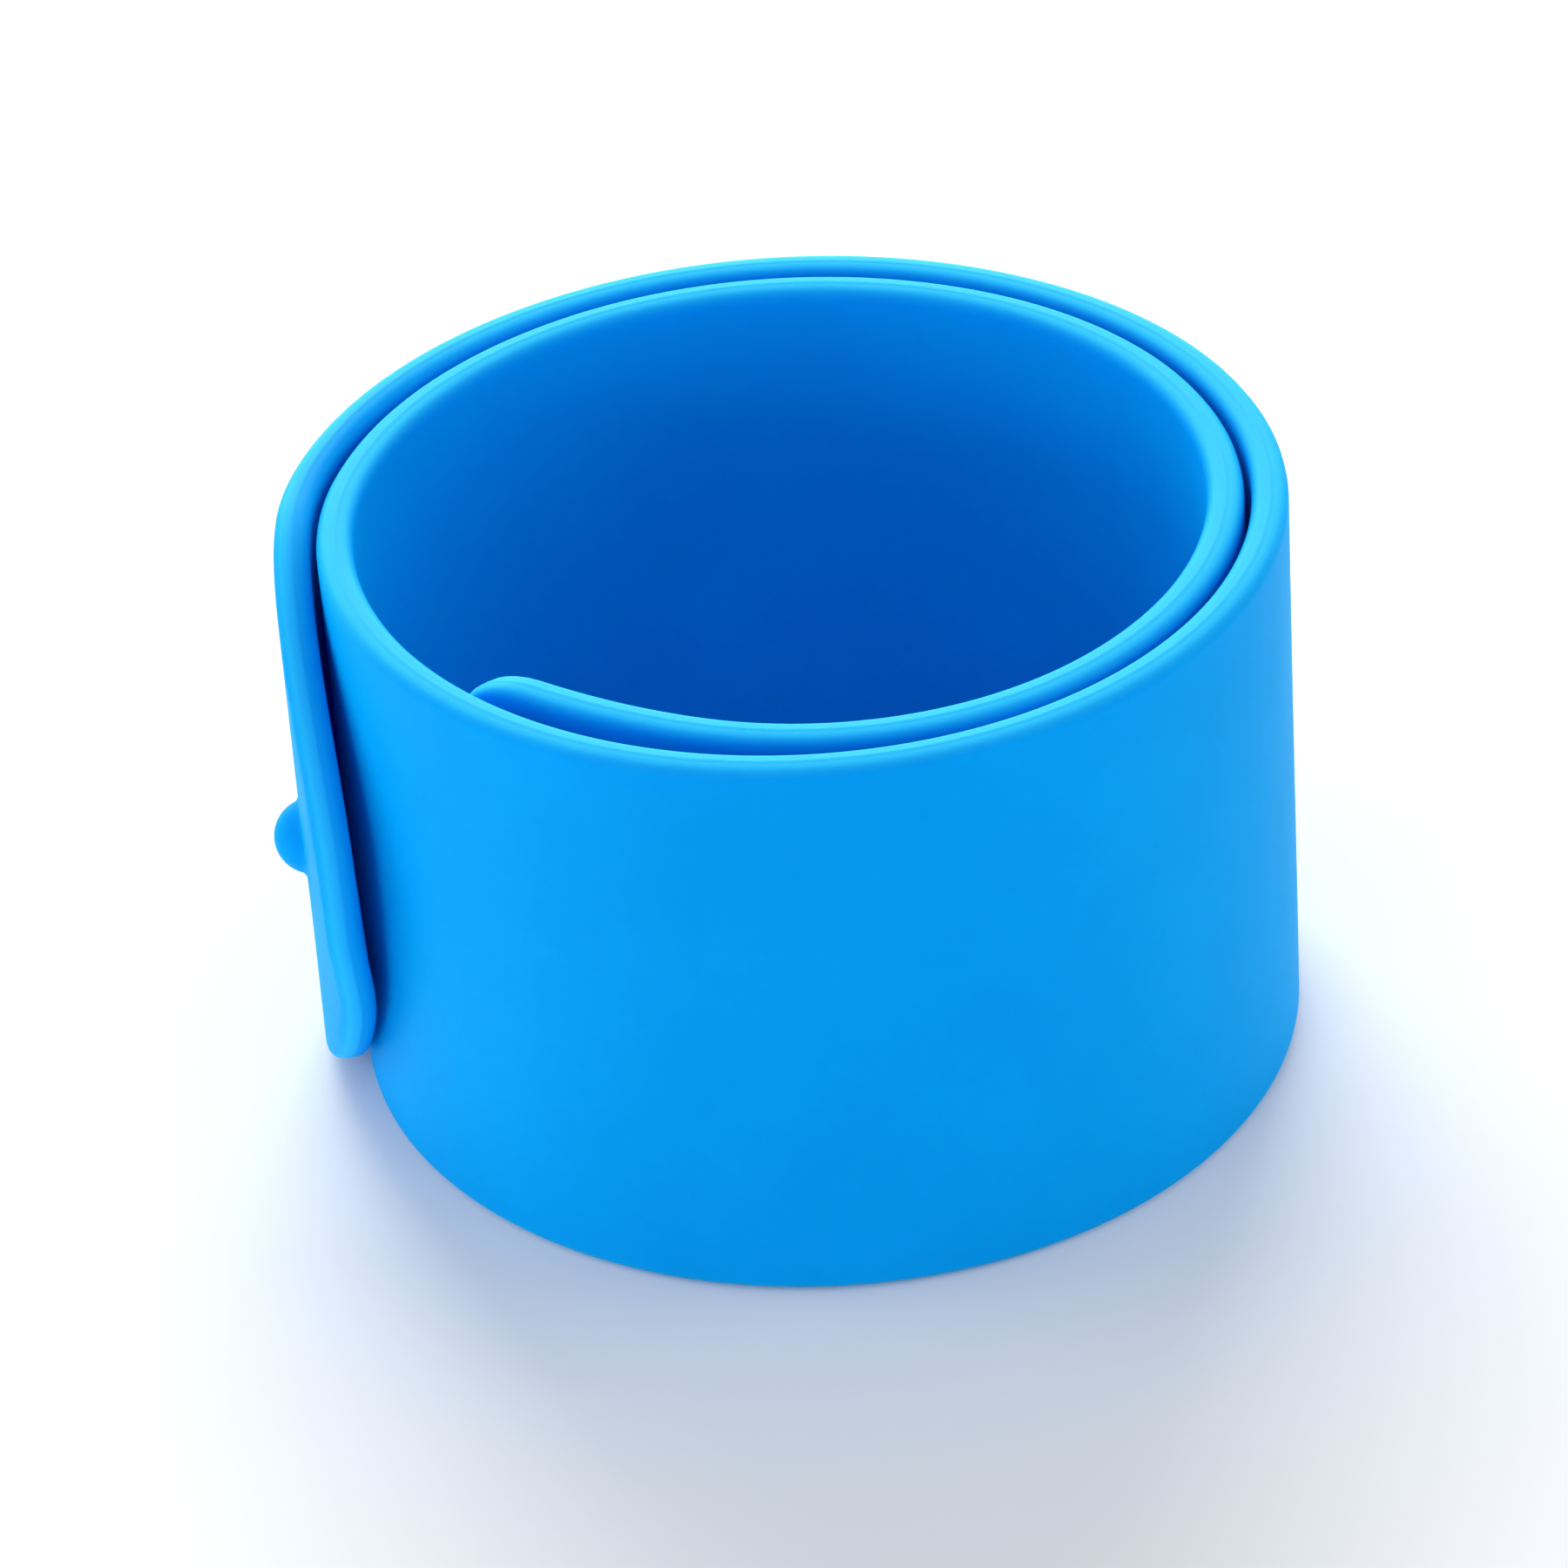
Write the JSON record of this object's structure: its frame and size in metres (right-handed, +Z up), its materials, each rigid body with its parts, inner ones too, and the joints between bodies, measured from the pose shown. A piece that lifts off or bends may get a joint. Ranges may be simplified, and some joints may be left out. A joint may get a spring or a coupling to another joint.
{
  "type": "silicone slap bracelet",
  "caption": "Slap bracelet of moulded silicone, coiled up on its long edge, with one squared end inside, one round end as a loose flap and a small domed stud near each end.",
  "frame": {"origin": "on the axis of the outer turn, where the wrist goes through, at the level of the lower long edge", "axes": "+Z up along the axis of the coil, across the width of the band; +X away from the loose flap, so the flap and its stud are at the low end of X; +Y away from the viewer of the picture"},
  "size_m": [0.0415, 0.0392, 0.025],
  "materials": {
    "silicone": "matt moulded silicone with a soft sheen"
  },
  "bodies": {
    "root": {"band": "silicone"}
  },
  "joints": []
}
